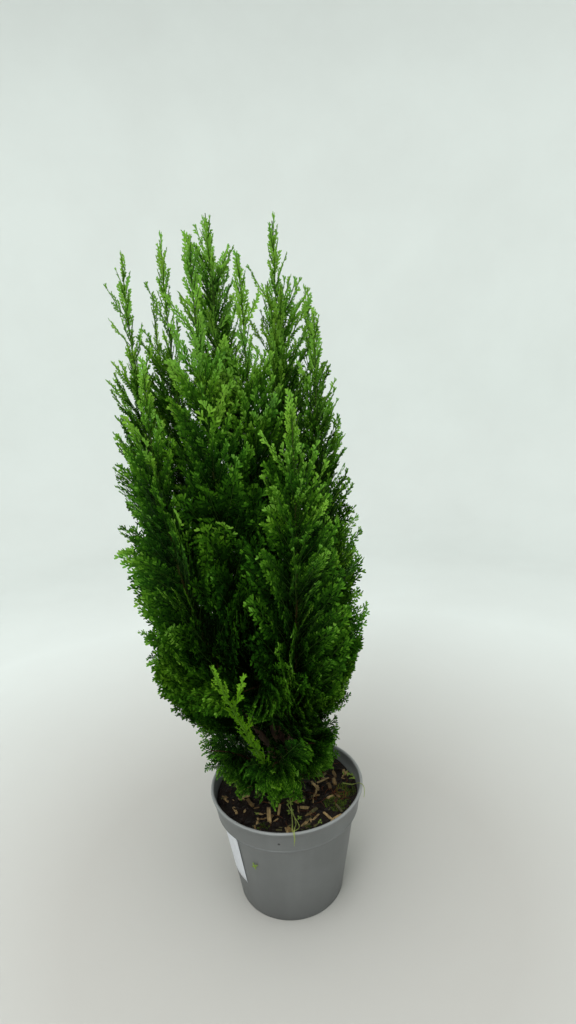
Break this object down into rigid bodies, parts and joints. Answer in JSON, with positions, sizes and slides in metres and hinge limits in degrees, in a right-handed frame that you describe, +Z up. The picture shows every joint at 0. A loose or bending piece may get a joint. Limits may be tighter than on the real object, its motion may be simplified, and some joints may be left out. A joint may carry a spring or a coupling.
{
  "type": "potted lawson cypress",
  "caption": "Young lawson cypress in a round grey nursery pot: upright evergreen shrub with many leaders of flat, ferny green sprays, for a patio or a garden.",
  "frame": {"origin": "centre of the pot's flat underside", "axes": "+Z up; -Y towards the side the picture shows, +X to that view's right"},
  "size_m": [0.2281, 0.2141, 0.64],
  "materials": {
    "grey_plastic": "satin, thin moulded plastic",
    "dark_compost": "loose moist potting compost with chips of wood",
    "red_brown_bark": "rough, finely flaking bark",
    "green_foliage": "fine scale leaves, slightly waxy",
    "young_foliage": "fine young scale leaves, yellower"
  },
  "bodies": {
    "root": {"bough_back": "red_brown_bark", "bough_back_right": "red_brown_bark", "bough_far_left": "red_brown_bark", "bough_far_right": "red_brown_bark", "bough_far_right_back": "red_brown_bark", "bough_front_left": "red_brown_bark", "bough_front_middle": "red_brown_bark", "bough_front_right": "red_brown_bark", "bough_left": "red_brown_bark", "bough_left_back": "red_brown_bark", "bough_tall_front": "red_brown_bark", "compost": "dark_compost", "front_shoot": "young_foliage", "leader_back": "green_foliage", "leader_back_right": "green_foliage", "leader_far_left": "green_foliage", "leader_far_right": "green_foliage", "leader_far_right_back": "green_foliage", "leader_front_left": "green_foliage", "leader_front_middle": "green_foliage", "leader_front_right": "green_foliage", "leader_left": "green_foliage", "leader_left_back": "green_foliage", "leader_right": "green_foliage", "leader_tall_front": "green_foliage", "leader_top": "green_foliage", "low_mass_1": "green_foliage", "low_mass_2": "green_foliage", "low_mass_3": "green_foliage", "low_mass_4": "green_foliage", "low_mass_5": "green_foliage", "low_mass_6": "green_foliage", "low_mass_7": "green_foliage", "middle_mass_1": "green_foliage", "middle_mass_2": "green_foliage", "middle_mass_3": "green_foliage", "middle_mass_4": "green_foliage", "middle_mass_5": "green_foliage", "middle_mass_6": "green_foliage", "pot": "grey_plastic", "trunk": "red_brown_bark"}
  },
  "joints": []
}
